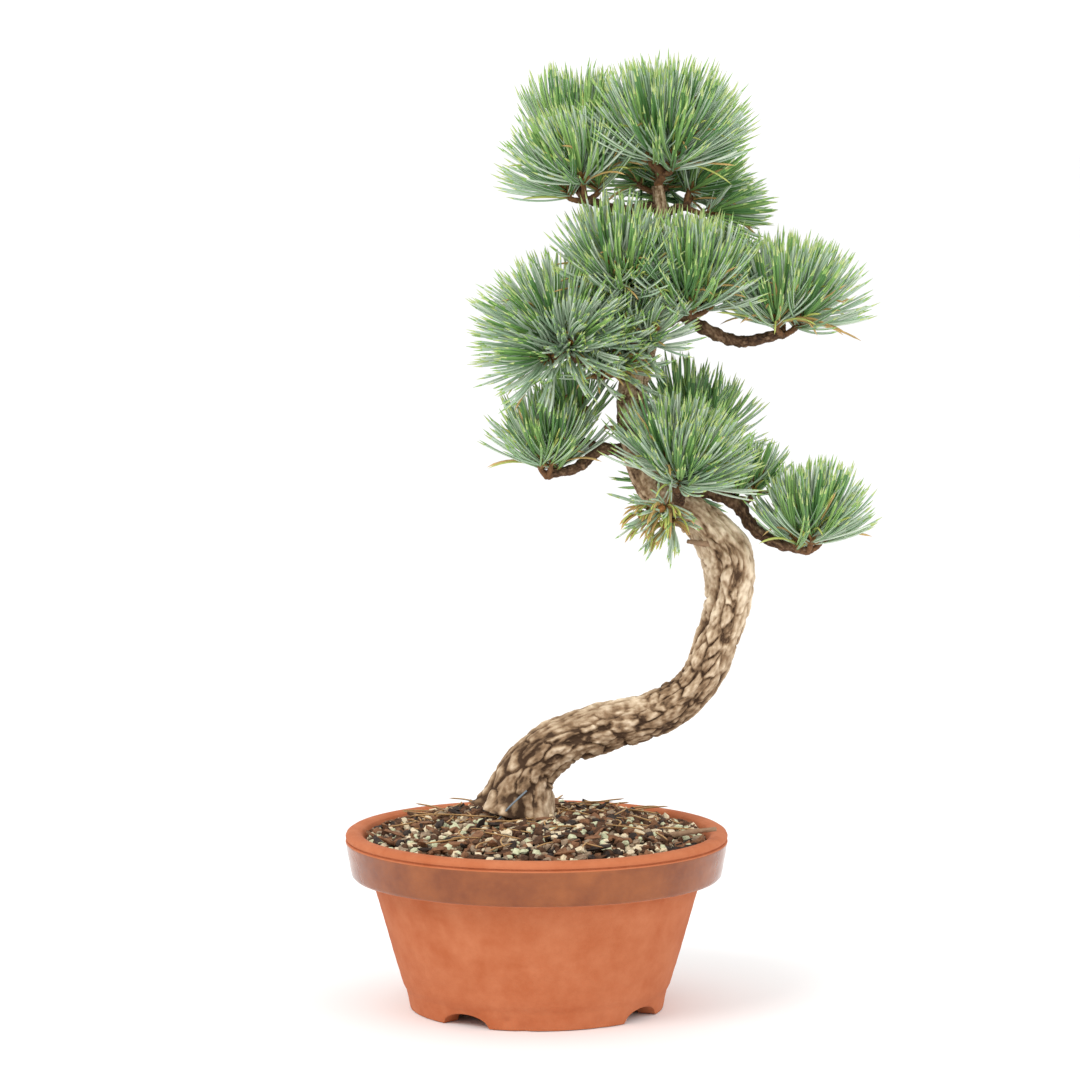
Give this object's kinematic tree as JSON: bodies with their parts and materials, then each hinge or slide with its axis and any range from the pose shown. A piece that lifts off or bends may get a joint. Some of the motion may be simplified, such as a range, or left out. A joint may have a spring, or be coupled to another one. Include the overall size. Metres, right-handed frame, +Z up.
{
  "type": "potted japanese white pine bonsai",
  "caption": "Bonsai Japanese white pine with a bent trunk and tufts of blue-green needles, in a round terracotta pot with a glazed rim.",
  "frame": {"origin": "on the ground, under the middle of the box round the whole tree and pot; the pot's axis is 35.7 mm to the left of it", "axes": "+Z up, +X to the right and +Y to the back, seen from the front of the tree"},
  "size_m": [0.2624, 0.191, 0.4712],
  "materials": {
    "terracotta": "unglazed red clay, with a glossy brown glaze round the rim band",
    "soil": "coarse mix of bark, pumice and lava grains",
    "trunk_bark": "rough flaking bark",
    "bough_bark": "dark young bark with bud scars",
    "needles": "slender green needles with bluish inner faces"
  },
  "bodies": {
    "root": {"pot": "terracotta", "soil": "soil", "trunk": "trunk_bark", "bough_left": "bough_bark", "bough_left_back": "bough_bark", "bough_left_low": "bough_bark", "bough_left_low_fork": "bough_bark", "bough_right": "bough_bark", "bough_right_front": "bough_bark", "bough_right_back": "bough_bark", "bough_right_low": "bough_bark", "bough_front_low": "bough_bark", "bough_back_low": "bough_bark", "bough_top_left": "bough_bark", "bough_top_right": "bough_bark", "foliage_top": "needles", "foliage_top_left": "needles", "foliage_top_back": "needles", "foliage_upper_left": "needles", "foliage_upper_right": "needles", "foliage_middle_front": "needles", "foliage_middle_inner": "needles", "foliage_middle_back": "needles", "foliage_right_front": "needles", "foliage_right_back": "needles", "foliage_right": "needles", "foliage_left": "needles", "foliage_left_under": "needles", "foliage_left_back": "needles", "foliage_left_low": "needles", "foliage_left_inner": "needles", "foliage_back_low": "needles", "foliage_back_lowest": "needles", "foliage_front_low": "needles", "foliage_front_lowest": "needles", "foliage_middle_low": "needles", "foliage_right_low": "needles"}
  },
  "joints": []
}
